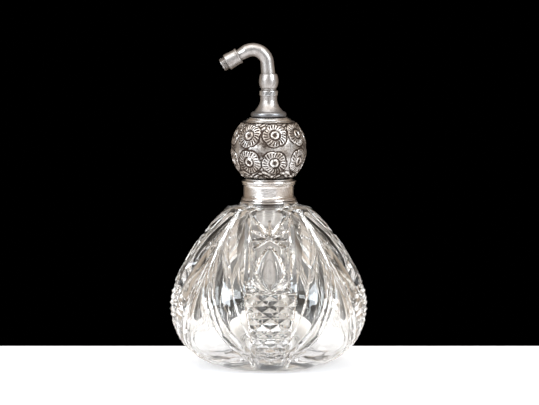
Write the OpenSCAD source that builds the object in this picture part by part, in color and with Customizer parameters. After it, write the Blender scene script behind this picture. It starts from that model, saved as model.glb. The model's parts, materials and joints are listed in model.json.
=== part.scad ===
// Cut-glass scent bottle with a silver lift-pump atomiser head.
// Millimetres. The origin is the middle of the base, on the surface that the bottle stands on.
// +Z is up, and the spout points to -X at rest.

/* [Bottle] */
// Greatest radius of the glass body
bottle_r = 46.5; // [44:0.5:48]
// Height of the widest place above the base
belly_z = 30; // [28:0.5:32]
// Radius of the flat ring that the bottle stands on
base_r = 21; // [19:0.2:22]
// Radius where the shoulder meets the neck rings
shoulder_r = 19.5; // [18.5:0.5:20]
// Height where the shoulder meets the neck rings
shoulder_z = 75.3; // [75:0.1:75.5]
// Thickness of the glass at the belly
glass_wall = 6.7; // [5:0.1:8]
// Thickness of the glass under the floor
glass_floor = 9.5; // [8:0.5:11]
// Outside radius of the ground neck inside the collar
neck_r = 10.6; // [10.4:0.1:10.7]
// Radius of the bore of the neck
neck_bore_r = 7.8; // [7.6:0.1:8]
// Height of the lip of the neck
neck_top_z = 83.1; // [82.9:0.1:83.2]

/* [Collar] */
// Height of the foot of the collar
collar_z = 77.5; // [77.4:0.1:77.7]
// Height of the rim of the collar
collar_top_z = 86.8; // [86.7:0.05:86.8]
// Outside radius of the waist of the collar
collar_waist_r = 11.8; // [11.6:0.1:12]
// Outside radius of the ring mouldings at the foot
collar_foot_r = 13.4; // [13.2:0.1:13.6]
// Inside radius of the collar
collar_bore_r = 11.1; // [11:0.05:11.2]

/* [Pump] */
// Radius of the flange of the gland cap
flange_r = 12.9; // [12.7:0.1:13.1]
// Radius of the screw on the gland cap
screw_r = 9.1; // [9:0.05:9.2]
// Outside radius of the pump barrel
barrel_r = 5.5; // [5.3:0.1:5.7]
// Bore radius of the pump barrel
barrel_bore_r = 4.8; // [4.6:0.05:4.9]
// Height of the lower end of the barrel
barrel_z = 42; // [42:1:44]
// Radius of the hollow piston rod
rod_r = 2.5; // [2.4:0.05:2.6]
// Bore radius of the hollow piston rod
rod_bore_r = 1.25; // [1.1:0.05:1.3]
// Radius of the dip tube
dip_r = 1.8; // [1.7:0.1:1.9]
// Radius of both valve balls
ball_r = 1.5; // [1.4:0.05:1.5]

/* [Globe] */
// Outside radius of the globe
globe_r = 17.9; // [17.5:0.1:18.3]
// Height of the middle of the globe
globe_z = 102.7; // [102.3:0.1:103.1]
// Thickness of the silver sheet
sheet_t = 0.9; // [0.7:0.1:1.1]
// Height of the opening at the foot of the globe
globe_foot_z = 88.7; // [88.5:0.1:88.9]
// Height of the opening at the top of the globe
globe_top_z = 115.5; // [115.3:0.1:115.7]

/* [Spout] */
// Radius of the flange of the pedestal
pedestal_r = 8.4; // [8:0.1:8.8]
// Radius of the stem of the pedestal
stem_r = 3.9; // [3.8:0.05:4]
// Radius of the ring nut above the stem
ring_r = 4.35; // [4.2:0.05:4.5]
// Radius of the ball of the knuckle
knuckle_r = 4.5; // [4.4:0.1:4.8]
// Height of the stem and its foot together
stem_h = 10.3; // [10:0.1:10.6]
// Radius of the spout tube at the knuckle
tube_root_r = 3.35; // [3.2:0.05:3.5]
// Radius of the spout tube through the bend
tube_bend_r = 3.1; // [3:0.05:3.2]
// Radius of the spout tube at the ferrule
tube_end_r = 2.7; // [2.6:0.05:2.8]
// Bore radius of the spout tube
tube_bore_r = 1.6; // [1.4:0.1:1.8]
// Radius of the bend along the middle of the tube
bend_r = 6.7; // [6.4:0.1:7]
// Lean of the upright stretch of the tube towards the outlet
lean = 5; // [4:0.5:6]
// Angle of the outlet below the horizontal
droop = 30; // [28:1:32]
// Length of the ferrule
ferrule_l = 6.6; // [6.4:0.1:6.8]
// Crest radius of the thread on the jet
jet_r = 3.2; // [3.1:0.05:3.3]
// Length of the jet beyond the ferrule
jet_l = 2.6; // [2.5:0.1:2.8]

/* [Hidden] */
$fn = 72;

// Fits
run_fit = 0.05;
seat_gap = 0.03;

// Gland cap and its screw
flange_z = collar_top_z + run_fit;
flange_t = 1.05;
flange_top_z = flange_z + flange_t;
cork_t = 0.6;
leather_t = 0.4;
washer_r = 9;
washer_split_z = neck_top_z + cork_t;
screw_z = washer_split_z + leather_t;
screw_ring_bore_r = screw_r + 0.08;
spigot_r = 7;
spigot_z = screw_z - 8.2;
washer_bore_r = spigot_r + 0.1;
socket_top_z = screw_z - 1.2;
packing_z = socket_top_z + 0.6;
packing_r = 4.6;
packing_nut_z = flange_top_z - 1.3;

// Valves: a ball on a 45 degree seat, under a cross pin
seat_r = 0.9;
chamber_r = ball_r + 0.12;
ball_over_seat = ball_r * sqrt(2) - seat_r + seat_gap * sqrt(2);
ball_lift = 0.9;
pin_r = 0.35;
pin_over_seat = ball_over_seat + ball_r + ball_lift + run_fit + pin_r;

foot_seat_z = barrel_z - 1;
foot_body_top_z = barrel_z + 4;
foot_flange_r = 6.2;
foot_flange_z = barrel_z - 3;
foot_boss_r = 3;
foot_boss_z = barrel_z - 9;
dip_top_z = barrel_z - 4.5;
dip_bore_r = 1.1;
strainer_z = 11;
strainer_r = 2.4;
strainer_floor = 0.8;
strainer_top_z = 15;
strainer_hole_r = 0.35;

// Piston
nut_z = foot_body_top_z + 1;
nut_top_z = nut_z + 1.6;
leather_top_z = nut_top_z + 1.8;
piston_top_z = leather_top_z + 6.6;
piston_r = barrel_bore_r - 0.2;
piston_spigot_r = 2.2;
rod_z = piston_top_z - 1.6;
discharge_seat_z = leather_top_z + 0.3;

// Globe fittings
foot_plate_z = flange_top_z + run_fit;
seam_lap = 1.2;
spacer_r = 3.4;
inner_nut_z = globe_foot_z;
inner_nut_t = 2.2;
top_plate_z = globe_top_z - 0.8;
top_plate_r = 10.5;
top_plate_top_z = globe_top_z + 1.4;
washer_top_z = top_plate_top_z + 0.5;
foot_opening_r = sqrt(pow(globe_r, 2) - pow(globe_z - globe_foot_z, 2));
top_opening_r = sqrt(pow(globe_r, 2) - pow(globe_top_z - globe_z, 2));
top_plug_r = sqrt(pow(globe_r - sheet_t, 2) - pow(globe_top_z - globe_z, 2)) - run_fit;

// Swivel
stem_top_z = washer_top_z + stem_h;
cone_top_z = washer_top_z + 8.2;
rod_top_z = stem_top_z - 3.2;
spigot_top_z = stem_top_z + 0.8;
swivel_seal_t = 0.4;
journal_r = 2.2;
journal_z = rod_top_z + 0.6;
journal_bore_r = 1.1;
journal_collar_r = 3.3;
journal_collar_z = spigot_top_z + swivel_seal_t + seat_gap;
journal_collar_top_z = journal_collar_z + 0.5;
ring_thread_r = 3.5;
ring_top_z = stem_top_z + 2.4;
knuckle_foot_z = ring_top_z + run_fit;
knuckle_z = stem_top_z + 6.1;
knuckle_top_z = knuckle_z + 4;

// Spout path, in the XZ plane
tube_z = knuckle_z + 1.3;
bend_start_z = tube_z + 8;
upright_l = (bend_start_z - tube_z) / cos(lean);
bend_start = [-upright_l * sin(lean), bend_start_z];
bend_mid = bend_start - bend_r * [cos(lean), sin(lean)];
bend_angle = 90 + droop - lean;

// Stations along the outlet, counted from the end of the bend
taper_s = 3.2;
ferrule_s = 3.6;
tube_end_s = 6;
ferrule_step_s = 6.2;
jet_washer_t = 0.4;
jet_shank_s = ferrule_step_s + jet_washer_t;
ferrule_end_s = ferrule_s + ferrule_l;
jet_thread_s = ferrule_end_s + run_fit;
jet_end_s = ferrule_end_s + jet_l;
ferrule_bore_r = 2.95;
ferrule_root_r = 3.6;
ferrule_mouth_r = 3.9;
jet_shank_r = ferrule_bore_r - run_fit;
jet_bore_r = 1.6;
jet_pitch = 0.8;
jet_root_r = 2.85;
swirl_s = 9;
swirl_end_s = 11.6;
disc_s = 12.1;
disc_r = 2.2;
orifice_r = 0.2;

// A point of a cubic curve with ends a and d and handles b and c
function cubic(a, b, c, d, t) =
    pow(1 - t, 3) * a + 3 * pow(1 - t, 2) * t * b + 3 * (1 - t) * t * t * c + pow(t, 3) * d;

// Points of a cubic curve from a to d, without the last one
function curve(a, b, c, d, steps) = [for (i = [0:steps - 1]) cubic(a, b, c, d, i / steps)];

// Points of an arc
function arc(mid, r, from, to, steps) =
    [for (i = [0:steps]) let (turn = from + (to - from) * i / steps) mid + r * [cos(turn), sin(turn)]];

module turned(points) {
    rotate_extrude() polygon(points);
}

module tube(r, bore, z, top) {
    difference() {
        translate([0, 0, z]) cylinder(r = r, h = top - z);
        translate([0, 0, z - 1]) cylinder(r = bore, h = top - z + 2);
    }
}

module hole(r, z, top) {
    translate([0, 0, z]) cylinder(r = r, h = top - z);
}

module cross_pin(z, l) {
    translate([0, 0, z]) rotate([0, 90, 0]) cylinder(r = pin_r, h = l, center = true, $fn = 24);
}

// The chamber of a ball valve, cut out of the part that holds it
module valve_chamber(seat_z, top) {
    translate([0, 0, seat_z]) cylinder(r1 = seat_r, r2 = chamber_r, h = chamber_r - seat_r);
    hole(chamber_r, seat_z + chamber_r - seat_r, top);
}

// The frame of the bend: its middle is the origin, and it starts on +X and turns towards +Y
module at_bend() {
    translate([bend_mid[0], 0, bend_mid[1]]) rotate([90, 0, 0]) rotate([0, 0, lean]) children();
}

// Puts a piece that is drawn along +Z from the end of the bend onto the outlet
module on_outlet() {
    at_bend() rotate([0, 0, bend_angle]) translate([bend_r, 0, 0]) rotate([-90, 0, 0]) children();
}

module bottle() {
    wall = glass_wall;
    base_z = 0.6;
    step_r = 14.3;
    outside = concat(
        [[0, base_z], [base_r - 4, base_z], [base_r - 3.4, 0], [base_r - 0.8, 0]],
        curve([base_r, 0.1], [35.5, 3.4], [bottle_r, 12.5], [bottle_r, belly_z], 18),
        curve([bottle_r, belly_z], [bottle_r, 42.5], [33, 63], [shoulder_r, shoulder_z], 18),
        [[shoulder_r, shoulder_z], [16, shoulder_z + 0.6]],
        [[step_r, shoulder_z + 0.7], [step_r, shoulder_z + 1.3], [step_r - 0.7, shoulder_z + 1.4]],
        [[step_r - 0.7, collar_z], [neck_r, collar_z], [neck_r, neck_top_z], [0, neck_top_z]]
    );
    belly = bottle_r - wall;
    inside = concat(
        [[0, glass_floor]],
        curve([18, glass_floor], [31, glass_floor], [belly, 17], [belly, belly_z], 14),
        curve([belly, belly_z], [belly, 43], [27, 58], [neck_bore_r, shoulder_z - 1.5], 14),
        [[neck_bore_r, shoulder_z - 1.5], [neck_bore_r, neck_top_z + 1], [0, neck_top_z + 1]]
    );
    color([0.92, 0.94, 0.92, 0.45]) difference() {
        turned(outside);
        turned(inside);
    }
}

module collar() {
    ring = 0.45;
    rim_r = collar_waist_r + 0.75;
    points = concat(
        [[collar_bore_r, collar_z], [collar_foot_r - ring, collar_z]],
        arc([collar_foot_r - ring, collar_z + ring], ring, -90, 90, 6),
        [[collar_foot_r - 0.7, collar_z + 2 * ring + 0.1]],
        arc([collar_foot_r - 0.4 - ring, collar_z + 3 * ring + 0.2], ring, -90, 90, 6),
        arc([collar_waist_r + 1.3, collar_z + 3.6], 1.3, 250, 180, 5),
        arc([collar_waist_r + 1.4, collar_top_z - 1.9], 1.4, 180, 125, 5),
        [[rim_r, collar_top_z - 0.5], [rim_r, collar_top_z], [collar_bore_r, collar_top_z]]
    );
    color("silver") turned(points);
}

module collar_cement() {
    color("ivory") tube(collar_bore_r, neck_r, collar_z, neck_top_z);
}

module neck_screw_ring() {
    color("goldenrod") tube(collar_bore_r, screw_ring_bore_r, screw_z, collar_top_z);
}

module cork_washer() {
    color("peru") tube(washer_r, washer_bore_r, neck_top_z, washer_split_z);
}

module leather_washer() {
    color("saddlebrown") tube(washer_r, washer_bore_r, washer_split_z, screw_z);
}

module gland_cap() {
    lip = flange_t / 2;
    outside = concat(
        [[0, spigot_z], [spigot_r, spigot_z], [spigot_r, screw_z], [screw_r, screw_z], [screw_r, flange_z]],
        arc([flange_r - lip, flange_z + lip], lip, -90, 90, 8),
        [[0, flange_top_z]]
    );
    color("silver") difference() {
        turned(outside);
        hole(barrel_r, spigot_z - 1, socket_top_z);
        hole(rod_r + 2 * run_fit, spigot_z, flange_top_z);
        hole(packing_r, packing_z, flange_top_z + 1);
    }
}

module gland_packing() {
    color("tan") tube(packing_r, rod_r + run_fit, packing_z, packing_nut_z);
}

module packing_nut() {
    key_r = 0.45;
    key_pos = 3.6;
    color("goldenrod") difference() {
        tube(packing_r, rod_r + 2 * run_fit, packing_nut_z, flange_top_z);
        for (side = [-1, 1])
            translate([side * key_pos, 0, 0]) hole(key_r, packing_nut_z + 0.5, flange_top_z + 1);
    }
}

module pump_barrel() {
    color("goldenrod") tube(barrel_r, barrel_bore_r, barrel_z, socket_top_z);
}

module foot_valve_body() {
    outside = [
        [0, foot_boss_z], [foot_boss_r, foot_boss_z], [foot_boss_r, foot_flange_z - 1.5],
        [foot_flange_r, foot_flange_z + 0.5], [foot_flange_r, barrel_z], [barrel_bore_r, barrel_z],
        [barrel_bore_r, foot_body_top_z], [0, foot_body_top_z]
    ];
    color("goldenrod") difference() {
        turned(outside);
        hole(dip_r, foot_boss_z - 1, dip_top_z);
        hole(seat_r, dip_top_z - 1, foot_seat_z);
        valve_chamber(foot_seat_z, foot_body_top_z + 1);
        cross_pin(foot_seat_z + pin_over_seat, 2 * barrel_bore_r + 1);
    }
}

module foot_valve_pin() {
    color("gainsboro") cross_pin(foot_seat_z + pin_over_seat, 2 * barrel_bore_r - 0.4);
}

module foot_valve_ball() {
    color("gainsboro") translate([0, 0, foot_seat_z + ball_over_seat]) sphere(r = ball_r);
}

module dip_tube() {
    color([0.9, 0.93, 0.92, 0.5]) tube(dip_r, dip_bore_r, strainer_z + strainer_floor, dip_top_z);
}

module strainer() {
    holes = 6;
    color("goldenrod") difference() {
        hole(strainer_r, strainer_z, strainer_top_z);
        hole(dip_r, strainer_z + strainer_floor, strainer_top_z + 1);
        for (i = [0:holes - 1])
            rotate([0, 0, i * 360 / holes]) translate([dip_bore_r - strainer_hole_r, 0, 0])
                cylinder(r = strainer_hole_r / 2, h = 2 * strainer_z, $fn = 16);
    }
}

module piston_rod() {
    color("silver") tube(rod_r, rod_bore_r, rod_z, rod_top_z);
}

module piston_head() {
    outside = [
        [0, nut_z], [piston_spigot_r, nut_z], [piston_spigot_r, leather_top_z],
        [piston_r, leather_top_z], [piston_r, piston_top_z - 1],
        [piston_r - 1, piston_top_z], [0, piston_top_z]
    ];
    color("goldenrod") difference() {
        turned(outside);
        hole(seat_r, nut_z - 1, discharge_seat_z);
        valve_chamber(discharge_seat_z, rod_z + 0.01);
        hole(rod_r, rod_z, piston_top_z + 1);
        cross_pin(discharge_seat_z + pin_over_seat, 2 * piston_r + 1);
    }
}

module piston_leather() {
    cup_r = barrel_bore_r - run_fit;
    cup = [
        [piston_spigot_r, nut_top_z + 0.9], [cup_r - 0.9, nut_top_z + 0.9], [cup_r - 0.9, nut_top_z],
        [cup_r, nut_top_z - 0.2], [cup_r, leather_top_z], [piston_spigot_r, leather_top_z]
    ];
    color("saddlebrown") turned(cup);
}

module piston_nut() {
    color("goldenrod") difference() {
        union() {
            translate([0, 0, nut_z]) cylinder(r = 3.4, h = nut_top_z - nut_z, $fn = 6);
            hole(3.6, nut_top_z - 0.5, nut_top_z + 0.9);
        }
        hole(piston_spigot_r, nut_z - 1, nut_top_z + 2);
    }
}

module discharge_pin() {
    color("gainsboro") cross_pin(discharge_seat_z + pin_over_seat, 2 * piston_r - 0.4);
}

module discharge_ball() {
    color("gainsboro") translate([0, 0, discharge_seat_z + ball_over_seat]) sphere(r = ball_r);
}

// The sheet of the globe between two heights
module globe_shell(from, to) {
    translate([0, 0, globe_z]) intersection() {
        difference() {
            sphere(r = globe_r);
            sphere(r = globe_r - sheet_t);
        }
        translate([0, 0, from - globe_z]) cylinder(r = 2 * globe_r, h = to - from);
    }
}

module globe_lower() {
    inner = globe_r - sheet_t;
    color("silver") union() {
        globe_shell(globe_foot_z, globe_z);
        tube(inner - 0.1, inner - 0.6, globe_z - seam_lap, globe_z + seam_lap);
        tube(inner + 0.2, inner - 0.6, globe_z - seam_lap, globe_z - 0.2);
    }
}

module globe_upper() {
    color("silver") globe_shell(globe_z, globe_top_z);
}

module globe_foot_plate() {
    color("silver") tube(foot_opening_r, rod_r, foot_plate_z, globe_foot_z);
}

module globe_top_plate() {
    step_z = globe_top_z + 0.25;
    points = [
        [rod_r, top_plate_z], [top_plug_r, top_plate_z], [top_plug_r, globe_top_z],
        [top_opening_r - 0.2, globe_top_z], [top_opening_r - 0.6, step_z], [top_plate_r, step_z],
        [top_plate_r, top_plate_top_z - 0.5], [top_plate_r - 0.5, top_plate_top_z], [rod_r, top_plate_top_z]
    ];
    color("silver") turned(points);
}

module globe_spacer() {
    color("goldenrod") tube(spacer_r, rod_r, inner_nut_z + inner_nut_t, top_plate_z - inner_nut_t);
}

module hex_nut(z) {
    difference() {
        translate([0, 0, z]) cylinder(r = 5, h = inner_nut_t, $fn = 6);
        hole(rod_r, z - 1, z + inner_nut_t + 1);
    }
}

module rod_nut_lower() {
    color("goldenrod") hex_nut(inner_nut_z);
}

module rod_nut_upper() {
    color("goldenrod") hex_nut(top_plate_z - inner_nut_t);
}

module pedestal_washer() {
    color("silver") tube(pedestal_r + 0.7, rod_r, top_plate_top_z, washer_top_z);
}

module pedestal() {
    bead_r = 1.45;
    bead = [pedestal_r - bead_r, washer_top_z + bead_r];
    cone = [[bead[0] - 0.1, bead[1] + bead_r], [bead[0] - 1.4, bead[1] + 2.8], [4.3, cone_top_z - 2.6]];
    outside = concat(
        [[0, washer_top_z]], arc(bead, bead_r, -90, 75, 12),
        curve(cone[0], cone[1], cone[2], [stem_r, cone_top_z], 10),
        [[stem_r, cone_top_z], [stem_r, stem_top_z], [ring_thread_r, stem_top_z]],
        [[ring_thread_r, spigot_top_z], [0, spigot_top_z]]
    );
    color("slategray") difference() {
        turned(outside);
        hole(rod_r, washer_top_z - 1, rod_top_z);
        hole(journal_r + run_fit, rod_top_z - 0.01, spigot_top_z + 1);
    }
}

module swivel_seal() {
    seal_r = ring_thread_r - 0.05;
    color("saddlebrown") tube(seal_r, journal_r + 0.1, spigot_top_z, spigot_top_z + swivel_seal_t);
}

module swivel_ring() {
    lip_z = journal_collar_top_z + run_fit;
    edge = 0.35;
    outside = concat(
        [[0, stem_top_z]],
        arc([ring_r - edge, stem_top_z + edge], edge, -90, 0, 4),
        arc([ring_r - edge, ring_top_z - edge], edge, 0, 90, 4),
        [[0, ring_top_z]]
    );
    color("slategray") difference() {
        turned(outside);
        hole(ring_thread_r, stem_top_z - 1, lip_z);
        hole(journal_r + run_fit, lip_z - 0.01, ring_top_z + 1);
    }
}

module knuckle() {
    mouth_r = 3.9;
    foot_r = 3.5;
    foot_h = 0.8;
    bulge = (8 * knuckle_r - mouth_r - foot_r) / 6;
    barrel = curve(
        [foot_r, knuckle_foot_z + foot_h], [bulge, knuckle_foot_z + foot_h + 1.6],
        [bulge, knuckle_top_z - 2.4], [mouth_r, knuckle_top_z], 12
    );
    outside = concat(
        [[0, knuckle_foot_z], [foot_r, knuckle_foot_z]], barrel,
        [[mouth_r, knuckle_top_z], [0, knuckle_top_z]]
    );
    color("slategray") difference() {
        union() {
            hole(journal_r, journal_z, knuckle_foot_z + 1);
            hole(journal_collar_r, journal_collar_z, journal_collar_top_z);
            turned(outside);
        }
        hole(journal_bore_r, journal_z - 1, knuckle_z);
        rotate([0, -lean, 0]) hole(journal_bore_r, knuckle_z - 1.4, knuckle_top_z + 1);
        translate([0, 0, tube_z]) rotate([0, -lean, 0]) cylinder(r = tube_root_r, h = 2 * knuckle_r);
    }
}

module spout_tube() {
    upright = [[tube_bore_r, -upright_l], [tube_root_r, -upright_l], [tube_bend_r, 0], [tube_bore_r, 0]];
    outlet = [
        [tube_bore_r, 0], [tube_bend_r, 0], [tube_end_r, taper_s],
        [tube_end_r, tube_end_s], [tube_bore_r, tube_end_s]
    ];
    color("slategray") at_bend() union() {
        rotate_extrude(angle = bend_angle) translate([bend_r, 0]) difference() {
            circle(r = tube_bend_r);
            circle(r = tube_bore_r);
        }
        translate([bend_r, 0, 0]) rotate([-90, 0, 0]) turned(upright);
        rotate([0, 0, bend_angle]) translate([bend_r, 0, 0]) rotate([-90, 0, 0]) turned(outlet);
    }
}

module spout_ferrule() {
    lip = 0.25;
    points = [
        [tube_end_r, ferrule_s], [ferrule_root_r, ferrule_s], [ferrule_root_r + lip, ferrule_s + lip],
        [ferrule_root_r + lip, ferrule_s + 3 * lip], [ferrule_root_r, ferrule_s + 4 * lip],
        [ferrule_mouth_r, ferrule_end_s - 0.3], [ferrule_mouth_r - 0.3, ferrule_end_s],
        [ferrule_bore_r, ferrule_end_s], [ferrule_bore_r, ferrule_step_s], [tube_bore_r, ferrule_step_s],
        [tube_bore_r, tube_end_s], [tube_end_r, tube_end_s]
    ];
    color("slategray") on_outlet() turned(points);
}

module jet_washer() {
    color("saddlebrown") on_outlet() tube(jet_shank_r, tube_bore_r, ferrule_step_s, jet_shank_s);
}

module jet() {
    turns = floor((jet_l - 0.2) / jet_pitch);
    ridges = [for (i = [0:turns - 1]) each [
        [jet_root_r, jet_thread_s + i * jet_pitch],
        [jet_r, jet_thread_s + (i + 0.35) * jet_pitch],
        [jet_r, jet_thread_s + (i + 0.65) * jet_pitch]
    ]];
    points = concat(
        [[jet_bore_r, jet_shank_s], [jet_shank_r, jet_shank_s], [jet_shank_r, ferrule_end_s]],
        [[jet_root_r, ferrule_end_s]],
        ridges,
        [[jet_root_r, jet_thread_s + turns * jet_pitch], [jet_root_r, jet_end_s], [disc_r, jet_end_s]],
        [[disc_r, disc_s], [jet_bore_r, disc_s]]
    );
    color("slategray") on_outlet() turned(points);
}

module swirl_core() {
    slot_w = 0.5;
    color("goldenrod") on_outlet() difference() {
        hole(jet_bore_r, swirl_s, swirl_end_s);
        for (turn = [0, 90])
            rotate([0, 0, turn]) for (side = [-1, 1])
                translate([side * jet_bore_r, 0, swirl_s - 1]) rotate([side * 12, 0, 0])
                    translate([-slot_w / 2, -slot_w / 2, -1]) cube([slot_w, slot_w, 6]);
    }
}

module jet_disc() {
    color("gainsboro") on_outlet() tube(disc_r, orifice_r, disc_s, jet_end_s);
}

bottle();
collar();
collar_cement();
neck_screw_ring();
cork_washer();
leather_washer();
gland_cap();
gland_packing();
packing_nut();
pump_barrel();
foot_valve_body();
foot_valve_pin();
foot_valve_ball();
dip_tube();
strainer();
piston_rod();
piston_head();
piston_leather();
piston_nut();
discharge_pin();
discharge_ball();
globe_lower();
globe_upper();
globe_foot_plate();
globe_top_plate();
globe_spacer();
rod_nut_lower();
rod_nut_upper();
pedestal_washer();
pedestal();
swivel_seal();
swivel_ring();
knuckle();
spout_tube();
spout_ferrule();
jet_washer();
jet();
swirl_core();
jet_disc();
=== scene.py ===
import json
import math

import bpy
import numpy as np
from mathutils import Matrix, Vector


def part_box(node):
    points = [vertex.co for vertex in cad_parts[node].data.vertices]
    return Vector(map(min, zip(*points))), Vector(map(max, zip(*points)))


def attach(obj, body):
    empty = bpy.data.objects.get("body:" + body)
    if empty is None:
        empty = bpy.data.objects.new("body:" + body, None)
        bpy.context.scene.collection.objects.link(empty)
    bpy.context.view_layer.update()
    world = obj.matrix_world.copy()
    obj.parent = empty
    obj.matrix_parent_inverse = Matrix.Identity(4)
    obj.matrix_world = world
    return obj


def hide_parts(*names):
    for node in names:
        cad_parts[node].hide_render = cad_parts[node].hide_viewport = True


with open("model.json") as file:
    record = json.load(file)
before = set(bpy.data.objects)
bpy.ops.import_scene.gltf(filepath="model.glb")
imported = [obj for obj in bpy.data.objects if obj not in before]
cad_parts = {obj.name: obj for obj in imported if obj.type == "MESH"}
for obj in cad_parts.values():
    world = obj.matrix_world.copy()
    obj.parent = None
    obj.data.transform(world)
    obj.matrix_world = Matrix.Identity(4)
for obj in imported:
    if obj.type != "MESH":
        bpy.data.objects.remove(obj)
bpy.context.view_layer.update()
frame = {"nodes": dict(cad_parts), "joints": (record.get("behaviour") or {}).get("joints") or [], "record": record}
mm = 0.001


class Wire:
    # one output of a shader node, ready for arithmetic
    def __init__(self, paint, socket):
        self.paint = paint
        self.socket = socket

    def math(self, operation, *values):
        return self.paint.node("ShaderNodeMath", {"operation": operation}, values)

    def __add__(self, other):
        return self.math("ADD", self, other)

    def __radd__(self, other):
        return self.math("ADD", other, self)

    def __sub__(self, other):
        return self.math("SUBTRACT", self, other)

    def __rsub__(self, other):
        return self.math("SUBTRACT", other, self)

    def __mul__(self, other):
        return self.math("MULTIPLY", self, other)

    def __rmul__(self, other):
        return self.math("MULTIPLY", other, self)


class Paint:
    # the nodes of one material, or of the world
    def __init__(self, owner, space="Object"):
        self.owner = owner
        self.owner.use_nodes = True
        self.tree = self.owner.node_tree
        self.tree.nodes.clear()
        self.place = self.node("ShaderNodeTexCoord", {}, {}, space)

    def node(self, kind, settings, values, out=0):
        made = self.tree.nodes.new(kind)
        for key, value in settings.items():
            if key == "stops":
                self.setStops(made.color_ramp, value)
            else:
                setattr(made, key, value)
        pairs = values.items() if isinstance(values, dict) else enumerate(values)
        for key, value in pairs:
            if isinstance(value, Wire):
                self.tree.links.new(value.socket, made.inputs[key])
            else:
                made.inputs[key].default_value = value
        return Wire(self, made.outputs[out]) if len(made.outputs) else None

    def setStops(self, ramp, stops):
        while len(ramp.elements) < len(stops):
            ramp.elements.new(0.5)
        for element, (position, colour) in zip(ramp.elements, stops):
            element.position = position
            element.color = (*colour, 1)

    def noise(self, size, detail=4, stretch=(1, 1, 1)):
        spot = self.node("ShaderNodeMapping", {}, {"Vector": self.place, "Scale": stretch})
        return self.node("ShaderNodeTexNoise", {}, {"Vector": spot, "Scale": 1 / size, "Detail": detail})

    def cells(self, size):
        return self.node("ShaderNodeTexVoronoi", {}, {"Vector": self.place, "Scale": 1 / size}, "Distance")

    def between(self, value, low, high, start=0.0, end=1.0):
        values = {"Value": value, "From Min": low, "From Max": high, "To Min": start, "To Max": end}
        return self.node("ShaderNodeMapRange", {"clamp": True}, values)

    def blend(self, amount, first, second):
        ends = [end if isinstance(end, Wire) else (*end, 1) for end in (first, second)]
        return self.node("ShaderNodeMix", {"data_type": "RGBA"}, {0: amount, 6: ends[0], 7: ends[1]}, 2)

    def bump(self, height, depth, strength):
        return self.node("ShaderNodeBump", {}, {"Height": height, "Strength": strength, "Distance": depth})

    def corners(self, reach):
        # 1 in narrow hollows, 0 in the open
        return 1 - self.node("ShaderNodeAmbientOcclusion", {"samples": 8}, {"Distance": reach}, "AO")

    def attribute(self, name):
        return self.node("ShaderNodeAttribute", {"attribute_name": name}, {}, "Fac")

    def finish(self, values):
        shader = self.node("ShaderNodeBsdfPrincipled", {}, values)
        self.node("ShaderNodeOutputMaterial", {}, {"Surface": shader})
        return self.owner


def newPaint(name):
    return Paint(bpy.data.materials.new(name))


# finishes: colours, then sizes of their marks in metres
silverLook = {
    "bright": (0.76, 0.725, 0.69), "warm": (0.4, 0.335, 0.28), "tarnish": (0.05, 0.036, 0.028),
    "hollow": 1.6 * mm, "cloud": 7 * mm, "patch": 4.5 * mm, "dent": 3 * mm, "mottle": 0.9 * mm,
    "speck": 0.7 * mm, "scratch": 0.5 * mm, "relief": 0.12 * mm,
}


def silverPaint(name, chasedWork=False):
    look = silverLook
    paint = newPaint(name)
    cloud = paint.noise(look["cloud"], 5)
    film = paint.between(cloud, 0.36, 0.62) * 0.9
    grime = paint.between(paint.corners(look["hollow"]), 0.2, 0.75)
    if chasedWork:
        mottle = paint.between(paint.noise(look["mottle"], 5), 0.38, 0.68) * 0.5 + film * 0.3
        patch = paint.between(paint.noise(look["patch"], 6), 0.5, 0.66)
        grime = grime * 0.2 + paint.attribute("soil") * (0.55 + mottle + patch * 0.7) + patch * 0.1
        grime = paint.between(grime, 0.08, 0.8)
    speck = paint.between(paint.noise(look["speck"], 3), 0.56, 0.7) * 0.6
    colour = paint.blend(film, look["bright"], look["warm"])
    colour = paint.blend(paint.between(grime + speck * film, 0, 1.0), colour, look["tarnish"])
    rough = paint.between(cloud, 0.3, 0.75, 0.16, 0.36) + grime * 0.3
    lines = paint.noise(look["scratch"], 2, (1, 1, 6))
    dents = paint.noise(look["dent"], 2)
    height = dents * 0.9 + lines * 0.16 + paint.noise(look["mottle"], 2) * 0.3
    return paint.finish({
        "Base Color": colour, "Metallic": 1.0, "Roughness": rough,
        "Normal": paint.bump(height, look["relief"], 0.5),
    })


nickelLook = {
    "grey": (0.42, 0.395, 0.375), "dull": (0.27, 0.24, 0.22), "streak": (0.2, 0.18, 0.165),
    # the last colour on the next line is painted shade, laid at a foot where a shadow gap falls
    "pit": (0.07, 0.058, 0.05), "footShadow": (0.12, 0.125, 0.135), "rough": 0.34,
    "hollow": 1.5 * mm, "cloud": 3.2 * mm, "dent": 2.5 * mm, "pitGroup": 2.2 * mm, "pitSize": 0.9 * mm,
    "streakSize": 0.9 * mm, "grain": 0.35 * mm, "relief": 0.12 * mm,
}


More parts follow.
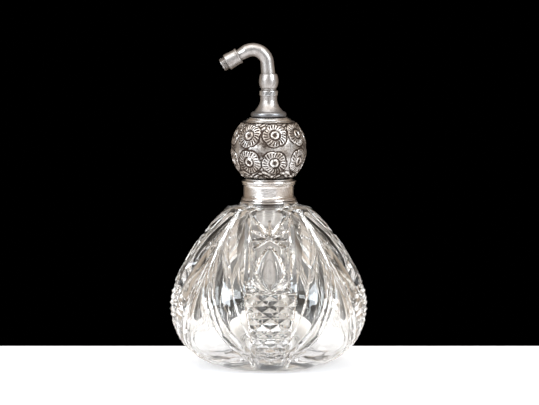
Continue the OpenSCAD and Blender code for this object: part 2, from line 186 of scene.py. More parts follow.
def nickelPaint(name, grey=nickelLook["grey"], rough=nickelLook["rough"], shadedFoot=None):
    # shadedFoot: heights between which painted shade at the foot, standing in for the shadow in the gap beneath
    # it, fades into the bright metal above it
    paint = newPaint(name)
    look = nickelLook
    cloud = paint.noise(look["cloud"], 7)
    pitted = paint.between(paint.noise(look["pitGroup"]), 0.5, 0.62)
    pit = paint.between(paint.cells(look["pitSize"]), 0.05, 0.22, 1.0, 0.0) * pitted
    colour = paint.blend(paint.between(cloud, 0.38, 0.66), grey, look["dull"])
    colour = paint.blend(pit * 0.75 + paint.corners(look["hollow"]) * 0.8, colour, look["pit"])
    streak = paint.between(paint.noise(look["streakSize"], 4, (1, 1, 0.22)), 0.5, 0.68)
    colour = paint.blend(streak * 0.6, colour, look["streak"])
    if shadedFoot:
        # painted shade: the lowest few mm of the piece darken, standing in for the shadow in the gap beneath it
        level = paint.node("ShaderNodeSeparateXYZ", {}, {0: paint.place}, "Z")
        colour = paint.blend(paint.between(level, *shadedFoot, 0.75, 0.0), colour, look["footShadow"])
    grain = paint.noise(look["grain"], 3)
    height = grain * 0.35 + paint.noise(look["dent"], 2) * 0.8 - pit * 0.8
    return paint.finish({
        "Base Color": colour, "Metallic": 1.0,
        "Roughness": paint.between(cloud, 0.3, 0.7, rough - 0.05, rough + 0.14),
        "Normal": paint.bump(height, look["relief"], 0.55),
    })


def turnedMetalPaint(name, bright, dull, rough):
    paint = newPaint(name)
    cloud = paint.noise(3 * mm, 5)
    ring = paint.node("ShaderNodeTexWave", {"bands_direction": "Z"}, {
        "Vector": paint.place, "Scale": 0.35 / mm, "Distortion": 0.6, "Detail": 2,
    }, "Fac")
    colour = paint.blend(paint.between(cloud, 0.35, 0.7), bright, dull)
    colour = paint.blend(paint.corners(1 * mm) * 0.7, colour, (0.09, 0.06, 0.035))
    return paint.finish({
        "Base Color": colour, "Metallic": 1.0,
        "Roughness": paint.between(cloud, 0.3, 0.7, rough, rough + 0.15),
        "Normal": paint.bump(ring, 0.03 * mm, 0.4),
    })


def glassPaint(name, tint, wear):
    paint = newPaint(name)
    haze = paint.between(paint.noise(4 * mm, 5), 0.45, 0.8) * wear
    ripple = paint.noise(12 * mm, 1)
    return paint.finish({
        "Base Color": (*tint, 1), "Transmission Weight": 1.0, "IOR": 1.53, "Roughness": haze,
        "Normal": paint.bump(ripple, 0.12 * mm, 0.3),
    })


def corkPaint():
    paint = newPaint("pressedCork")
    grains = paint.cells(0.55 * mm)
    speck = paint.between(paint.noise(0.3 * mm, 3), 0.58, 0.68)
    colour = paint.blend(paint.between(grains, 0.1, 0.7), (0.56, 0.37, 0.2), (0.36, 0.21, 0.1))
    colour = paint.blend(speck, colour, (0.14, 0.07, 0.03))
    return paint.finish({
        "Base Color": colour, "Roughness": 0.85, "Normal": paint.bump(grains, 0.1 * mm, 0.7),
    })


def leatherPaint():
    paint = newPaint("oiledLeather")
    grain = paint.cells(0.35 * mm)
    cloud = paint.noise(2 * mm, 4)
    colour = paint.blend(paint.between(cloud, 0.35, 0.7), (0.2, 0.095, 0.045), (0.09, 0.04, 0.02))
    return paint.finish({
        "Base Color": colour, "Roughness": paint.between(cloud, 0.3, 0.7, 0.45, 0.65),
        "Normal": paint.bump(grain, 0.06 * mm, 0.6),
    })


def feltPaint():
    paint = newPaint("greasedPacking")
    strand = paint.noise(0.25 * mm, 6, (1, 1, 3))
    colour = paint.blend(paint.between(strand, 0.35, 0.65), (0.32, 0.26, 0.17), (0.55, 0.48, 0.36))
    return paint.finish({
        "Base Color": colour, "Roughness": 0.8, "Sheen Weight": 0.3,
        "Normal": paint.bump(strand, 0.15 * mm, 0.8),
    })


def plasterPaint():
    paint = newPaint("setPlaster")
    grit = paint.noise(0.3 * mm, 6)
    colour = paint.blend(paint.between(grit, 0.35, 0.7), (0.62, 0.57, 0.48), (0.8, 0.77, 0.7))
    return paint.finish({
        "Base Color": colour, "Roughness": 0.9, "Normal": paint.bump(grit, 0.08 * mm, 0.7),
    })


def tablePaint():
    paint = newPaint("whiteTable")
    cloud = paint.noise(60 * mm, 4)
    colour = paint.blend(paint.between(cloud, 0.3, 0.7), (0.84, 0.84, 0.86), (0.77, 0.77, 0.79))
    return paint.finish({
        "Base Color": colour, "Roughness": 0.55,
        "Normal": paint.bump(paint.noise(1.2 * mm, 4), 0.05 * mm, 0.3),
        "Emission Color": (1, 0.99, 0.975, 1), "Emission Strength": 0.3,
    })


print("finishes")
silver = silverPaint("wornSilver")
chased = silverPaint("chasedSilver", True)
nickel = nickelPaint("satinNickel")
brightNickel = nickelPaint("brightNickel", (0.6, 0.59, 0.58), 0.22)
brass = turnedMetalPaint("dullBrass", (0.72, 0.5, 0.22), (0.42, 0.27, 0.11), 0.25)
steel = turnedMetalPaint("groundSteel", (0.66, 0.66, 0.67), (0.45, 0.45, 0.46), 0.16)
cutGlass = glassPaint("cutGlass", (0.978, 0.96, 0.93), 0.05)
thinGlass = glassPaint("drawnGlass", (0.985, 0.99, 0.985), 0.02)
slotPaints = {
    "silver": silver, "nickel": nickel, "brass": brass, "steel": steel, "thin_glass": thinGlass,
    "cut_glass": cutGlass, "cork": corkPaint(), "leather": leatherPaint(), "felt": feltPaint(),
    "plaster": plasterPaint(),
}
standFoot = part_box("pedestal")[0].z
# painted shade at the pedestal's foot, for the shadow in the gap above the washer
footShadedNickel = nickelPaint("nickelPaintedFootShadow", shadedFoot=(standFoot + 2 * mm, standFoot + 4.5 * mm))
# these two differ from the rest of their slot
nodePaints = {"swivel_ring": brightNickel, "pedestal": footShadedNickel}


def paintNodes():
    for part in frame["record"]["subparts"]:
        name = part["node"]
        paint = nodePaints.get(name, slotPaints[part["material_slot"]])
        slots = frame["nodes"][name].data.materials
        slots.clear()
        slots.append(paint)


paintNodes()


def cellCorners(rows, columns, start):
    # the four corners of every cell between closed rings of points
    column = np.arange(columns)[None, :]
    first = start + np.arange(rows - 1)[:, None] * columns
    low, side = first + column, first + (column + 1) % columns
    return low, side, side + columns, low + columns


def ringFaces(rows, columns, start=0):
    # quads between closed rings of points, one ring after another
    return np.stack(cellCorners(rows, columns, start), -1).reshape(-1, 4).tolist()


def makePiece(name, points, faces, paint, sharpAngle):
    mesh = bpy.data.meshes.new(name)
    mesh.from_pydata([tuple(point) for point in points], [], faces)
    mesh.validate()
    mesh.update()
    mesh.polygons.foreach_set("use_smooth", [True] * len(mesh.polygons))
    mesh.set_sharp_from_angle(angle=math.radians(sharpAngle))
    mesh.materials.append(paint)
    piece = bpy.data.objects.new(name, mesh)
    bpy.context.scene.collection.objects.link(piece)
    return piece


def bezier(points, steps):
    # a cubic curve without its last point
    share = (np.arange(steps) / steps)[:, None]
    a, b, c, d = [np.array(point, float) for point in points]
    rest = 1 - share
    return rest**3 * a + 3 * rest**2 * share * b + 3 * rest * share**2 * c + share**3 * d


def smoothStep(low, high, value):
    share = np.clip((value - low) / (high - low), 0, 1)
    return share * share * (3 - 2 * share)


glassLow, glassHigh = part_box("bottle")
bellyR = (glassHigh.x - glassLow.x) / 2 / mm
neckTop = glassHigh.z / mm
glass = {
    # outlines as radius and height in mm
    "foot": (21, 0.1), "bellyZ": 30, "shoulder": (19.5, 75.3),
    "low": ((35.5, 3.4), (bellyR, 12.5)), "high": ((bellyR, 42.5), (33, 63)),
    "ledges": [(16, 75.9), (14.3, 76.0), (14.3, 76.6), (13.6, 76.7), (13.6, 77.5), (10.55, 77.5),
               (10.55, neckTop)],
    "base": [(4.0, 0.6), (10.5, 0.6), (17.0, 0.6), (17.6, 0.0), (20.2, 0.0)],
    "boreR": 7.8, "boreZ": 73.8, "floorZ": 9.5, "innerR": 39.8, "mouth": 4, "crown": 0.3,
    "innerHigh": ((27, 58), (39.8, 43)), "innerLow": ((39.8, 17), (31, 9.5)),
    "innerFloor": [(18, 9.5), (9, 9.7)],
    # columns of points between the cuts' edges
    "panelTurn": 1.0, "skip": 4, "lineUp": 6, "evenColumns": 12, "edgeColumns": 6,
    "columns": {"facet": 4, "lobe": 5, "flute": 11, "mid": 5, "rib": 5, "end": 5},
}
cuts = {
    # along the height: half widths in mm and edges in degrees from the middle of a panel
    "panelZ": [6.5, 17.7, 29.5, 38.9, 53.8, 68.9, 74.4],
    "panelHalf": [5.6, 8.9, 11.4, 12.5, 12.2, 11.8, 10.6],
    "facetZ": [20, 38, 47, 53, 59, 66, 74],
    "facetEdge": [12.5, 15.6, 19.6, 23.7, 28, 34, 41],
    "lobeZ": [9.7, 15.6, 20.4, 26, 33.4, 41, 50, 60, 70],
    "lobeEdge": [9.2, 10.9, 13.2, 16.3, 19.8, 22.9, 27.5, 35.4, 42.6],
    "fluteZ": [10.9, 14.6, 20.8, 28.4, 36.6, 47.6, 55, 66],
    "fluteEdge": [12.5, 17.1, 24.9, 30.6, 35, 38.5, 40.8, 43.2],
    "midZ": [8.7, 12.8, 18.2, 26, 37, 47.4, 54, 66],
    "midEdge": [15.6, 22, 29.3, 33.5, 38.5, 41.3, 42.7, 43.8],
    "ribZ": [6.3, 10.2, 15.7, 22.7, 31, 37, 46, 53],
    "ribEdge": [16.8, 23.2, 30.1, 35.1, 39.3, 41.3, 43.6, 44.3],
    "bandSlope": 0.38, "lobeDepth": 1.1, "lobeFullness": 0.36, "fluteDepth": 1.1, "fluteCrown": 0.6,
    # along the outline of a panel: mm from the foot, with steps and depths in mm
    "fanWay": 52.9, "lowerFanWay": 30.6, "starWay": 80.7, "latticeEnd": 34.6, "lowerEnd": 12,
    "lattice": (46.3, 4.05, 2.85, 1.9), "lowerLattice": (30.6, 3.4, 2.6, 0.9),
    "fanRays": [((12.5, 52.0), 1.3, 1.5), ((9.8, 58.8), 1.1, 1.3), ((5.4, 59.5), 1.0, 1.2),
                ((0, 61.5), 0.9, 1.1)],
    "starRays": [(8.4, 74.3), (8.4, 79.0), (8.2, 84.5), (7.6, 92.5), (0, 90)], "starCut": (1.5, 1.5),
    "frame": [((8.2, 73.5), (4, 78.3)), ((4, 78.3), (0, 79.3)), ((8.2, 73.5), (7.6, 62.5))],
    "frameCut": (0.8, 1.0),
    "thumb": (53.9, 62.5, 75.8), "thumbHalf": 7.0, "thumbDepth": 2.0, "thumbFullness": 0.4,
    "crossCut": (10.5, 1.0, 1.2), "stripAcross": 9.3, "stripDepth": 0.7, "stripStart": 55,
    "runIn": (1, 16), "runOut": (92.5, 96.5),
}


def wedge(across, way, start, end, depth, half):
    # a mitre: a straight cut of V section that runs out at its far end
    start, end = np.array(start, float), np.array(end, float)
    along = end - start
    length = np.hypot(*along)
    share = ((across - start[0]) * along[0] + (way - start[1]) * along[1]) / length**2
    share = np.clip(share, 0, 1)
    away = np.hypot(across - start[0] - share * along[0], way - start[1] - share * along[1])
    full = depth * (1 - 0.55 * share)
    return np.clip(full - away * depth / half, 0, None)


def diamonds(across, way, middle, halfAcross, halfWay, depth):
    # crossing V cuts that leave four-sided points
    column, row = across / halfAcross, (way - middle) / halfWay
    first = np.abs((column + row + 1) % 2 - 1)
    second = np.abs((column - row + 1) % 2 - 1)
    return depth * (1 - np.minimum(first, second))


def thumbprint(side, way):
    # a drop-shaped hollow: short below its widest place, long above
    low, widest, high = cuts["thumb"]
    below = np.clip((way - low) / (widest - low), 0, 1)
    above = np.clip((high - way) / (high - widest), 0, 1)
    half = cuts["thumbHalf"] * np.sqrt(np.where(way < widest, below, above))
    hollow = np.clip(1 - (side / np.maximum(half, 0.01))**2, 0, 1)
    depth = cuts["thumbDepth"] * hollow**cuts["thumbFullness"]
    return np.where((way > low) & (way < high), depth, 0)


def panelCuts(across, way):
    side = np.abs(across)
    centre, end, foot = cuts["fanWay"], cuts["latticeEnd"], cuts["lowerEnd"]
    depth = np.where((way < centre) & (way > end), diamonds(across, way, *cuts["lattice"]), 0)
    lower = diamonds(across, way, *cuts["lowerLattice"]) * smoothStep(foot, foot + 6, way)
    depth = np.maximum(depth, lower * (way < end) * (way > foot))
    for tip, deep, half in cuts["fanRays"]:
        depth = np.maximum(depth, wedge(side, way, (0, centre), tip, deep, half))
    for tip in cuts["starRays"]:
        depth = np.maximum(depth, wedge(side, way, (0, cuts["starWay"]), tip, *cuts["starCut"]))
    for start, tip in cuts["frame"]:
        depth = np.maximum(depth, wedge(side, way, start, tip, *cuts["frameCut"]))
    depth = np.maximum(depth, thumbprint(side, way))
    reach, deep, half = cuts["crossCut"]
    cross = wedge(side, way, (0, cuts["lowerFanWay"]), (reach, cuts["lowerFanWay"]), deep, half)
    depth = np.maximum(depth, cross)
    strip = np.clip(cuts["stripDepth"] - np.abs(side - cuts["stripAcross"]), 0, None)
    return np.maximum(depth, strip * (way > cuts["stripStart"]))


def edgesAt(z, radius):
    # where each cut of the body begins, in degrees from the middle of the nearest panel
    half = np.interp(z, cuts["panelZ"], cuts["panelHalf"])
    edges = {"panel": np.degrees(half / radius)}
    edges["lobe"] = np.interp(z, cuts["lobeZ"], cuts["lobeEdge"])
    facet = np.interp(z, cuts["facetZ"], cuts["facetEdge"])
    edges["facet"] = np.minimum(np.maximum(facet, edges["panel"] + 0.3), edges["lobe"] - 0.4)
    before = edges["lobe"]
    for name in ("flute", "mid", "rib"):
        edges[name] = np.maximum(np.interp(z, cuts[name + "Z"], cuts[name + "Edge"]), before + 0.3)
        before = edges[name]
    edges["end"] = np.full_like(z, 45.0)
    return edges


def lobeCuts(turn, radius, edges):
    # depth from the panel's edge to the middle of the centre rib, for turn in degrees
    def share(low, high):
        return np.clip((turn - edges[low]) / (edges[high] - edges[low]), 0, 1)

    def crown(low, high, edge, top=0.0, fullness=0.75):
        part = share(low, high) * (0.5 if high == "end" else 1)
        return edge - (edge - top) * np.sin(math.pi * part)**fullness

    lip = cuts["lobeDepth"]
    band = lip * 0.7 + cuts["bandSlope"] * np.radians(edges["lobe"] - edges["facet"]) * radius
    fluted = cuts["fluteDepth"]
    depth = band * share("panel", "facet")
    depth = np.where(turn >= edges["facet"], band + (lip - band) * share("facet", "lobe"), depth)
    depth = np.where(turn >= edges["lobe"], crown("lobe", "flute", lip, 0.0, cuts["lobeFullness"]), depth)
    for low, high in (("flute", "mid"), ("mid", "rib")):
        depth = np.where(turn >= edges[low], crown(low, high, fluted, fluted - cuts["fluteCrown"]), depth)
    return np.where(turn >= edges["rib"], crown("rib", "end", fluted), depth)


def cutDepth(turn, way, z, radius):
    # turn: degrees from the middle of the nearest panel; the rest in mm, way along the outline
    edges = edgesAt(z, radius)
    side = np.abs(turn)
    across = np.radians(turn) * radius
    depth = np.where(side < edges["panel"] - 1e-6, panelCuts(across, way), lobeCuts(side, radius, edges))
    return depth * smoothStep(*cuts["runIn"], way) * (1 - smoothStep(*cuts["runOut"], way))


def columnTurns(z, radius):
    # the turn of each column in half a quarter: columns run along the cuts' own edges
    edges = edgesAt(z, radius)
    step = cuts["lattice"][1] / glass["lineUp"]
    even = glass["evenColumns"]
    edgeAcross = np.radians(edges["panel"]) * radius
    squeeze = np.minimum(1, (edgeAcross - 1.5) / (even * step))
    turns = [np.degrees(k * step * squeeze / radius) for k in range(even)]
    last = np.degrees(even * step * squeeze / radius)
    turns += [last + (edges["panel"] - last) * k / glass["edgeColumns"] for k in range(glass["edgeColumns"])]
    before = edges["panel"]
    for name, count in glass["columns"].items():
        turns += [before + (edges[name] - before) * k / count for k in range(count)]
        before = edges[name]
    return np.concatenate(turns, 1)


def outlineRows():
    # points along the body's outline, with their normals and their way along it; rows fall on the lattice
    belly = (bellyR, glass["bellyZ"])
    fine = np.vstack([
        bezier((glass["foot"], *glass["low"], belly), 400),
        bezier((belly, *glass["high"], glass["shoulder"]), 400), [glass["shoulder"]],
    ])
    along = np.concatenate([[0], np.cumsum(np.hypot(*np.diff(fine, axis=0).T))])
    middle, _, halfWay, _ = cuts["lattice"]
    step = halfWay / glass["lineUp"]
    way = np.concatenate([[0], np.arange(middle % step, along[-1] - 0.2, step), [along[-1]]])
    points = np.stack([np.interp(way, along, fine[:, 0]), np.interp(way, along, fine[:, 1])], 1)
    slope = np.gradient(points, way, axis=0)
    slope /= np.hypot(slope[:, 0], slope[:, 1])[:, None]
    normals = np.stack([slope[:, 1], -slope[:, 0]], 1)
    return points, normals, way


def creasedFaces(depth, start):
    # two triangles for each cell, split along the deeper diagonal so that a cut keeps a clean bottom
    a, b, c, d = cellCorners(*depth.shape, start)
    turned = np.roll(depth, -1, axis=1)
    rising = depth[:-1] + turned[1:] >= turned[:-1] + depth[1:]
    first = np.where(rising[..., None], np.stack([a, b, c], -1), np.stack([a, b, d], -1))
    second = np.where(rising[..., None], np.stack([a, c, d], -1), np.stack([b, c, d], -1))
    return np.concatenate([first.reshape(-1, 3), second.reshape(-1, 3)]).tolist()


def turnRings(profile, azimuths):
    # rings of points, seen with azimuth 0 at the front
    angle = np.radians(azimuths)
    r, z = profile[..., 0], profile[..., 1]
    if r.ndim == 1:
        r, z = r[:, None], z[:, None]
    shape = np.broadcast_shapes(r.shape, angle.shape)
    return np.stack([
        np.broadcast_to(r * np.sin(angle), shape), np.broadcast_to(-r * np.cos(angle), shape),
        np.broadcast_to(z, shape),
    ], -1)


def makeBottle():
    points, normals, way = outlineRows()
    z, radius = points[:, 1:2], points[:, 0:1]
    half = columnTurns(z, radius)
    quarter = np.concatenate([-np.full((len(z), 1), 45.0), -half[:, :0:-1], half], 1)
    turn = np.tile(quarter, 4)
    azimuths = turn + np.repeat(np.arange(4) * 90, quarter.shape[1])[None, :] + glass["panelTurn"]
    columns = azimuths.shape[1]
    depth = cutDepth(turn, way[:, None], z, radius)
    body = points[:, None, :] - normals[:, None, :] * depth[..., None]
    base = turnRings(np.array(glass["base"]), azimuths[0])
    neck = turnRings(np.array(glass["ledges"]), azimuths[-1])
    bodyRings = turnRings(body, azimuths)
    outside = np.concatenate([base, bodyRings, neck]).reshape(-1, 3)
    rows = len(outside) // columns
    faces = ringFaces(len(base) + 1, columns)
    faces += creasedFaces(depth, len(base) * columns)
    faces += ringFaces(len(neck) + 1, columns, (len(base) + len(bodyRings) - 1) * columns)
    belly = (glass["innerR"], glass["bellyZ"])
    inner = np.vstack([
        [(glass["boreR"], neckTop)], [(glass["boreR"], neckTop - glass["mouth"])],
        bezier(((glass["boreR"], glass["boreZ"]), *glass["innerHigh"], belly), 30),
        bezier((belly, *glass["innerLow"], glass["innerFloor"][0]), 22),
        glass["innerFloor"],
    ])
    few = azimuths[-1][::glass["skip"]]
    inside = turnRings(inner, few).reshape(-1, 3)
    start = len(outside)
    faces += ringFaces(len(inner), len(few), start)
    top = (rows - 1) * columns
    for i in range(len(few)):
        k = i * glass["skip"]
        outer = [top + (k + step) % columns for step in range(glass["skip"] + 1)]
        faces.append([*outer, start + (i + 1) % len(few), start + i])
    middles = [(0, 0, glass["base"][0][1]), (0, 0, glass["floorZ"] + glass["crown"])]
    everything = np.concatenate([outside, inside, middles])
    foot, floor = len(everything) - 2, len(everything) - 1
    faces += [[foot, (k + 1) % columns, k] for k in range(columns)]
    last = start + (len(inner) - 1) * len(few)
    faces += [[floor, last + i, last + (i + 1) % len(few)] for i in range(len(few))]
    piece = makePiece("cut_glass_bottle", everything * mm, faces, cutGlass, 16)
    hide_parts("bottle")
    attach(piece, "bottle")


print("bottle")
makeBottle()


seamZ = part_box("globe_upper")[0].z / mm
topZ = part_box("globe_upper")[1].z / mm
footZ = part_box("globe_lower")[0].z / mm
globeR = (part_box("globe_upper")[1].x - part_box("globe_upper")[0].x) / 2 / mm
globe = {
    "sheet": 0.8, "field": 0.42, "columns": 440, "rowStep": 0.27,
    "flowers": 8, "upperZ": 110.3, "upperTurn": 11, "lowerZ": 97.1, "lowerTurn": 11,
    "petalR": 5.9, "petals": 21, "scallops": 5, "eyeR": 1.6, "moatR": 2.6,
}


def flowerCentres():
    # azimuth and height of each flower, with its own turn
    centres = []
    rows = ((globe["upperZ"], globe["upperTurn"]), (globe["lowerZ"], globe["lowerTurn"]))
    for row, (z, turn) in enumerate(rows):
        for k in range(globe["flowers"]):
            wander = math.sin(2.4 * k + 5 * row)
            azimuth = turn + k * 360 / globe["flowers"] + 1.5 * wander
            centres.append((azimuth, z + 0.35 * wander, 0.9 * k + row))
    return centres


def hump(value, middle, width):
    return np.exp(-((value - middle) / width)**2)


def flower(east, north, spin):
    # height and soil of one open flower around its centre, and how far the point is inside its edge
    rho = np.hypot(east, north)
    theta = np.arctan2(north, east) + spin
    bulge = np.abs(np.sin(globe["scallops"] / 2 * theta))**0.55
    edge = globe["petalR"] * (0.87 + 0.13 * bulge + 0.025 * np.sin(2 * theta))
    inside = edge - rho
    share = np.clip((rho - globe["moatR"]) / (edge - globe["moatR"]), 0, 1)
    swirl = theta * globe["petals"] + 4 * share
    lift = np.sin(math.pi * np.clip(share * 0.92 + 0.04, 0, 1))**0.6
    valley = (0.5 - 0.5 * np.cos(swirl)) * smoothStep(0.08, 0.3, share) * (1 - smoothStep(0.82, 1.0, share))
    petal = 0.4 * lift - 0.3 * valley + 0.14 * hump(inside, 0.4, 0.3)
    eye = 0.52 * hump(rho, globe["eyeR"], 0.45) + 0.05 * hump(rho, 0, 0.5) - 0.16
    height = np.where(rho < globe["moatR"], eye, petal - 0.06)
    soil = np.where(rho < globe["moatR"], 1 - 1.15 * hump(rho, globe["eyeR"], 0.55), 0.95 * valley**0.8)
    soil = np.maximum(soil, 0.9 * hump(rho, globe["moatR"] + 0.15, 0.35))
    return height, soil, inside


def leafField(azimuth, z):
    # scrolls and stems between the flowers, and the matted ground
    across = np.radians(azimuth) * globeR
    height = 0.05 * np.sin(across * 5.1 + 2.2 * np.sin(z * 3.3))
    height = height * np.sin(z * 6.3 + 1.8 * np.sin(across * 2.1))
    soil = np.full_like(height, 0.4)
    turns = np.radians(azimuth * globe["flowers"])
    for middle, sway in ((topZ - 1.6, 1.1), (footZ + 2.3, 1.2)):
        for phase, thick in ((middle, 0.5), (middle + 1.6, 0.36)):
            gap = z - middle - sway * np.sin(turns + phase)
            height = height + 0.3 * hump(gap, 0, thick) * (0.7 + 0.3 * np.cos(across * 3.4))
            soil = soil + 0.75 * hump(np.abs(gap), thick + 0.45, 0.3) - 0.4 * hump(gap, 0, thick)
    return height, np.clip(soil, 0, 1)


def globeRelief(azimuth, z):
    height, soil = leafField(azimuth, z)
    rowR = np.sqrt(np.clip(globeR**2 - (z - seamZ)**2, 1, None))
    for centreTurn, centreZ, spin in flowerCentres():
        tilt = math.asin((centreZ - seamZ) / globeR)
        gap = np.radians((azimuth - centreTurn + 180) % 360 - 180)
        x, y = rowR * np.sin(gap), rowR * np.cos(gap)
        north = (z - seamZ) * math.cos(tilt) - y * math.sin(tilt)
        front = (z - seamZ) * math.sin(tilt) + y * math.cos(tilt)
        near = (front > 0.6 * globeR) & (np.hypot(x, north) < 1.3 * globe["petalR"])
        bloom, dirt, inside = flower(x, north, spin)
        cover = smoothStep(-0.12, 0.12, inside)
        trench = hump(inside, -0.32, 0.32) * (1 - cover)
        height = np.where(near, height * (1 - cover) + bloom * cover - 0.3 * trench, height)
        soil = np.where(near, soil * (1 - cover) + dirt * cover + trench, soil)
    return height, np.clip(soil, 0, 1)


def makeGlobeHalf(name, node, lowZ, highZ):
    size = globe["columns"]
    azimuth = np.arange(size) * 360 / size
    low, high = math.asin((lowZ - seamZ) / globeR), math.asin((highZ - seamZ) / globeR)
    count = round((high - low) * globeR / globe["rowStep"])
    tilt = np.linspace(low, high, count)[:, None]
    z = seamZ + globeR * np.sin(tilt)
    ends = smoothStep(0, 0.7, z - footZ) * smoothStep(0, 0.5, topZ - z)
    height, soil = globeRelief(azimuth[None, :], z)
    height = height * ends
    ground = globeR - globe["field"]
    radius = ground + height
    ring = np.stack([radius * np.cos(tilt), np.clip(seamZ + radius * np.sin(tilt), lowZ, highZ)], -1)
    outside = turnRings(ring, azimuth)
    back = ground - globe["sheet"]
    backTilt = np.linspace(math.asin((highZ - seamZ) / back), math.asin((lowZ - seamZ) / back), count // 3)
    inner = turnRings(np.stack([back * np.cos(backTilt), seamZ + back * np.sin(backTilt)], 1), azimuth)
    rings = np.concatenate([outside, inner, outside[:1]])
    rows = len(rings) - 1
    points = rings[:-1].reshape(-1, 3)
    faces = ringFaces(rows, size)
    for k in range(size):  # the two rims close the shell
        faces.append([(rows - 1) * size + k, (rows - 1) * size + (k + 1) % size, (k + 1) % size, k])
    piece = makePiece(name, points * mm, faces, chased, 40)
    soiled = piece.data.attributes.new("soil", "FLOAT", "POINT")
    values = np.concatenate([soil.ravel(), np.full(inner.shape[0] * size, 0.7)])
    soiled.data.foreach_set("value", values.astype(np.float32))
    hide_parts(node)
    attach(piece, "plunger")


print("globe")
makeGlobeHalf("chased_globe_lower", "globe_lower", footZ, seamZ)
makeGlobeHalf("chased_globe_upper", "globe_upper", seamZ, topZ)


jet = {
    # along the axis and across it, in mm
    "shank": (6.6, 2.9), "boreR": 1.6, "threadStart": 10.25, "end": 12.8, "rootR": 2.85, "crestR": 3.2,
    "pitch": 0.8, "recessR": 2.25, "recess": 12.1, "columns": 72, "step": 0.05,
}


def makeJet():
    joint = next(item for item in frame["joints"] if item["name"] == "jet_turn")
    axis = Vector(joint["axis"])
    start = Vector(joint["pos_m"]) / mm
    side = axis.orthogonal().normalized()
    cross = axis.cross(side)
    turn = np.arange(jet["columns"]) * 2 * math.pi / jet["columns"]
    stations = np.arange(jet["threadStart"], jet["end"], jet["step"])[:, None]
    phase = ((stations - jet["threadStart"]) / jet["pitch"] - turn[None, :] / (2 * math.pi)) % 1
    ridge = np.clip(1.9 * np.minimum(phase, 1 - phase) - 0.2, 0, 0.6) / 0.6  # flat at root and crest
    fade = smoothStep(0, 0.3, stations - jet["threadStart"]) * smoothStep(0, 0.45, jet["end"] - stations)
    threads = jet["rootR"] + (jet["crestR"] - jet["rootR"]) * ridge * fade
    first, shankR = jet["shank"]
    plain = [(first, jet["boreR"]), (first, shankR), (jet["threadStart"] - 0.05, shankR)]
    tail = [(jet["end"], jet["rootR"] - 0.15), (jet["end"], jet["recessR"]),
            (jet["recess"], jet["recessR"]), (jet["recess"], jet["boreR"])]
    size = jet["columns"]
    rings = [(way, np.full(size, radius)) for way, radius in plain]
    rings += list(zip(stations[:, 0], threads))
    rings += [(way, np.full(size, radius)) for way, radius in tail]
    points = []
    for way, radii in rings:
        for angle, radius in zip(turn, radii):
            spoke = side * (radius * math.cos(angle)) + cross * (radius * math.sin(angle))
            points.append(start + axis * way + spoke)
    faces = ringFaces(len(rings), size)
    last = (len(rings) - 1) * size
    faces += [[last + k, last + (k + 1) % size, (k + 1) % size, k] for k in range(size)]
    piece = makePiece("threaded_jet", [point * mm for point in points], faces, nickel, 35)
    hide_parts("jet")
    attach(piece, "jet")


print("jet")
makeJet()


stand = {"back": 0.077, "front": -0.8, "side": 0.9, "thick": 0.03, "round": 0.002}
view = {"eye": (0.0004, -1.6, 0.212), "aim": (0.0004, 0, 0.0774), "lens": 228.2, "sensor": 36}
lampAim = (0, 0, 0.07)
lamps = {
    # azimuth and elevation in degrees, distance, width and height in metres, power in watts, colour
    "windowLeft": (-48, 24, 1.3, 0.62, 0.6, 17, (0.84, 0.92, 1)),
    "windowRight": (48, 24, 1.3, 0.62, 0.6, 14, (0.84, 0.92, 1)),
    "overhead": (0, 66, 1.3, 2.0, 1.2, 21, (1, 1, 1)),
    "lowFront": (3, 13, 1.9, 0.9, 0.4, 1.5, (1, 1, 1)),
}
roomStops = (
    # from straight behind the object to straight in front of it
    (0.0, (0, 0, 0)), (0.07, (0, 0, 0)), (0.13, (0.52, 0.43, 0.34)), (0.42, (0.62, 0.56, 0.5)),
    (0.7, (0.3, 0.285, 0.27)), (1.0, (0.15, 0.15, 0.15)),
)


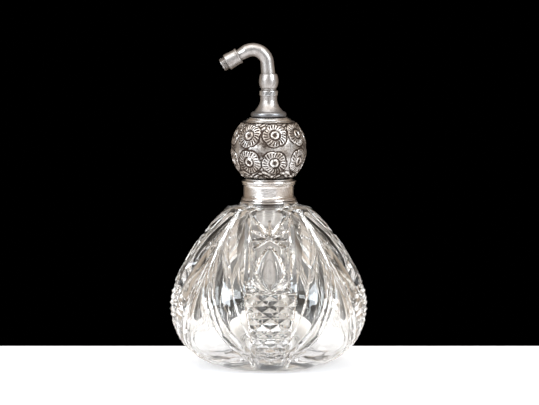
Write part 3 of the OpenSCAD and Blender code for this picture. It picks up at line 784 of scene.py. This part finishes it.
def makeTable():
    x, back, front, low = stand["side"], stand["back"], stand["front"], -stand["thick"]
    soft = stand["round"]
    outline = [(front, low), (front, -soft), (front + soft, 0), (back - soft, 0),
               (back - 0.3 * soft, -0.3 * soft), (back, -soft), (back, low)]
    points = [(side, y, z) for side in (-x, x) for y, z in outline]
    count = len(outline)
    faces = [[k, (k + 1) % count, (k + 1) % count + count, k + count] for k in range(count)]
    faces += [list(range(count))[::-1], list(range(count, 2 * count))]
    table = makePiece("table", points, faces, tablePaint(), 20)


def softBox(name, azimuth, elevation, distance, width, height, power, colour):
    light = bpy.data.lights.new(name, "AREA")
    light.shape = "RECTANGLE"
    light.size = width
    light.size_y = height
    light.energy = power
    light.color = colour
    box = bpy.data.objects.new(name, light)
    turn, lift = math.radians(azimuth), math.radians(elevation)
    aim = Vector(lampAim)
    toward = Vector((math.sin(turn) * math.cos(lift), -math.cos(turn) * math.cos(lift), math.sin(lift)))
    box.location = aim + distance * toward
    box.rotation_euler = (aim - box.location).to_track_quat("-Z", "Y").to_euler()
    bpy.context.scene.collection.objects.link(box)


def makeWorld():
    # a pale room in front, dark behind, not seen by the camera itself
    room = Paint(bpy.data.worlds.new("room"), "Generated")
    forward = room.node("ShaderNodeSeparateXYZ", {}, {0: room.place}, "Y") * -0.5 + 0.5
    colour = room.node("ShaderNodeValToRGB", {"stops": roomStops}, {0: forward})
    sky = room.node("ShaderNodeBackground", {}, {"Color": colour, "Strength": 1.0})
    room.node("ShaderNodeOutputWorld", {}, {"Surface": sky})
    room.owner.cycles_visibility.camera = False
    bpy.context.scene.world = room.owner


def makeCamera():
    data = bpy.data.cameras.new("camera")
    data.lens = view["lens"]
    data.sensor_width = view["sensor"]
    data.clip_start = 0.05
    camera = bpy.data.objects.new("camera", data)
    camera.location = view["eye"]
    camera.rotation_euler = (Vector(view["aim"]) - camera.location).to_track_quat("-Z", "Y").to_euler()
    bpy.context.scene.collection.objects.link(camera)
    bpy.context.scene.camera = camera


print("stage")
makeTable()
makeWorld()
for lamp, settings in lamps.items():
    softBox(lamp, *settings)
makeCamera()
scene = bpy.context.scene
scene.view_settings.view_transform = "Standard"
scene.cycles.max_bounces = 24
scene.cycles.transmission_bounces = 24
scene.cycles.glossy_bounces = 8
